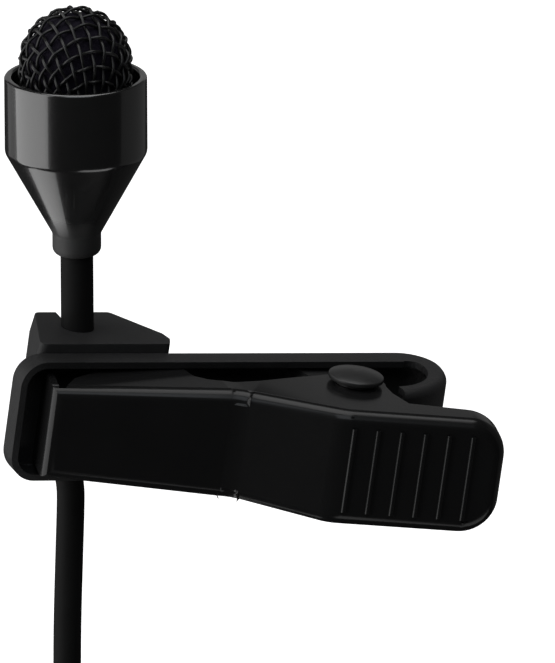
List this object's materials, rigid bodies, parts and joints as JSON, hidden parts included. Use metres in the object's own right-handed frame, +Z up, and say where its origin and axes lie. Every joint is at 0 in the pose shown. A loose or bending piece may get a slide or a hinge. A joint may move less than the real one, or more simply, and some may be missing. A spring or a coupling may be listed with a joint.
{
  "type": "lavalier microphone",
  "caption": "Clip-on microphone: wire-domed head on a short stem in a rubber holder, sprung clip with ribbed finger pad, coiled lead and latching multi-pin plug.",
  "frame": {"origin": "middle of the bite, where the teeth of the front jaw meet the rear jaw's floor", "axes": "+Z up along the microphone's axis, +X along the clip from the jaw tip to the finger pad, +Y to the back of the clip"},
  "size_m": [0.0428, 0.0234, 0.1403],
  "materials": {
    "mesh_paint": "satin",
    "foam": "open-cell foam",
    "cup_paint": "satin",
    "jaw_texture": "fine matt texture",
    "jaw_gloss": "gloss",
    "pin_metal": "satin",
    "spring_steel": "drawn wire",
    "holder_rubber": "matt",
    "cable_jacket": "satin",
    "capsule_metal": "satin",
    "gold": "plated",
    "film": "metallised film",
    "pale_plastic": "moulded",
    "board": "solder resist",
    "chip": "moulded",
    "wire_skin": "insulation",
    "cloth": "fine weave",
    "strap": "hook and loop",
    "nickel": "bright nickel",
    "plug_rubber": "matt",
    "insert_plastic": "moulded",
    "latch_black": "satin"
  },
  "bodies": {
    "rear": {"mesh_dome": "mesh_paint", "foam_liner": "foam", "grille_ring": "mesh_paint", "housing_cup": "cup_paint", "capsule_sleeve": "holder_rubber", "capsule_can": "capsule_metal", "dust_cloth": "cloth", "diaphragm_ring": "gold", "diaphragm": "film", "spacer_ring": "pale_plastic", "back_plate": "gold", "plate_holder": "pale_plastic", "gate_ring": "gold", "capsule_board": "board", "fet_chip": "chip", "lead_wires": "wire_skin", "stem": "cable_jacket", "holder_lead": "cable_jacket", "cable_holder": "holder_rubber", "holder_rivet": "pin_metal", "rear_jaw": "jaw_texture", "hinge_pin": "pin_metal", "pin_washers": "pin_metal", "jaw_spring": "spring_steel", "cable_run": "cable_jacket", "cable_coil": "cable_jacket", "cable_tail": "cable_jacket", "cable_tie": "strap", "plug_relief": "plug_rubber", "plug_backshell": "plug_rubber", "plug_collar": "nickel", "plug_barrel": "nickel", "plug_insert": "insert_plastic", "plug_contacts": "gold", "latch_spring": "spring_steel"},
    "front": {"front_jaw": "jaw_gloss"},
    "latch": {"plug_latch": "latch_black"}
  },
  "joints": [
    {"name": "jaw_hinge", "type": "hinge", "parent": "rear", "child": "front", "pos_m": [0.01609, -0.00568, -0.00231], "axis": [0.1146, -0.0785, 0.9903], "range_deg": [0, 14], "stiffness_Nm_per_rad": 0.06, "springref_deg": -34.38, "deforming": ["jaw_spring"]},
    {"name": "plug_latch_press", "type": "slide", "parent": "rear", "child": "latch", "axis": [1, 0, 0], "range_m": [0, 0.0006], "stiffness_N_per_m": 900, "springref_m": -0.001, "deforming": ["latch_spring"]}
  ]
}
